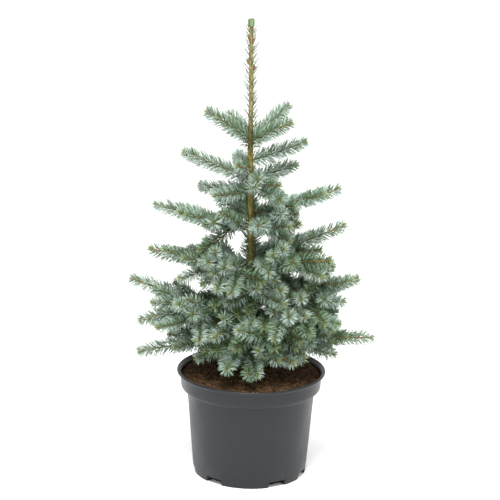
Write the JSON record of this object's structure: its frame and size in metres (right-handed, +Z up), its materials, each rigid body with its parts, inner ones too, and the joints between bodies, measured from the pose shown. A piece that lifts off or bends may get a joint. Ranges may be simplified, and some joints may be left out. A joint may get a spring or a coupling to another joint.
{
  "type": "potted blue spruce",
  "caption": "Young blue spruce: a tapering stem with whorls of needle-clad boughs under an upright leader, in a round tapered nursery pot of compost.",
  "frame": {"origin": "centre of the pot's flat underside, level with the surface it stands on", "axes": "+Z up the stem, -Y towards the plant's front (the side seen first), +X to the plant's right as seen from the front"},
  "size_m": [0.3754, 0.253, 0.705],
  "materials": {
    "pot": "satin anthracite injection-moulded plastic",
    "soil": "loose dark brown fibrous compost",
    "bark": "rough olive-brown bark, golden on young wood",
    "needles": "waxy blue-green needles"
  },
  "bodies": {
    "root": {"bough_4_back": "bark", "bough_4_front_right": "bark", "bough_4_left": "bark", "bough_4_right": "bark", "bough_5_back": "bark", "bough_5_back_left": "bark", "bough_5_front_left": "bark", "bough_5_front_right": "bark", "bough_5_left": "bark", "bough_5_right": "bark", "bough_6_back_left": "bark", "bough_6_back_right": "bark", "bough_6_left": "bark", "bough_6_right": "bark", "bough_7_back_left": "bark", "bough_7_back_right": "bark", "bough_7_front_left": "bark", "bough_7_front_right": "bark", "bough_7_left": "bark", "bough_7_low_front": "bark", "bough_7_low_left": "bark", "bough_7_right": "bark", "needles_4_back": "needles", "needles_4_front_right": "needles", "needles_4_left": "needles", "needles_4_right": "needles", "needles_5_back": "needles", "needles_5_back_left": "needles", "needles_5_front_left": "needles", "needles_5_front_right": "needles", "needles_5_left": "needles", "needles_5_right": "needles", "needles_6_back_left": "needles", "needles_6_back_right": "needles", "needles_6_left": "needles", "needles_6_right": "needles", "needles_7_back_left": "needles", "needles_7_back_right": "needles", "needles_7_front_left": "needles", "needles_7_front_right": "needles", "needles_7_left": "needles", "needles_7_low_front": "needles", "needles_7_low_left": "needles", "needles_7_right": "needles", "needles_leader": "needles", "needles_whorl_1_back_left": "needles", "needles_whorl_1_back_right": "needles", "needles_whorl_1_front_right": "needles", "needles_whorl_1_left": "needles", "needles_whorl_2_back": "needles", "needles_whorl_2_back_right": "needles", "needles_whorl_2_front_left": "needles", "needles_whorl_2_left": "needles", "needles_whorl_2_right": "needles", "needles_whorl_3_front_right": "needles", "needles_whorl_3_left": "needles", "needles_whorl_6_front": "needles", "pot": "pot", "soil": "soil", "trunk": "bark"}
  },
  "joints": []
}
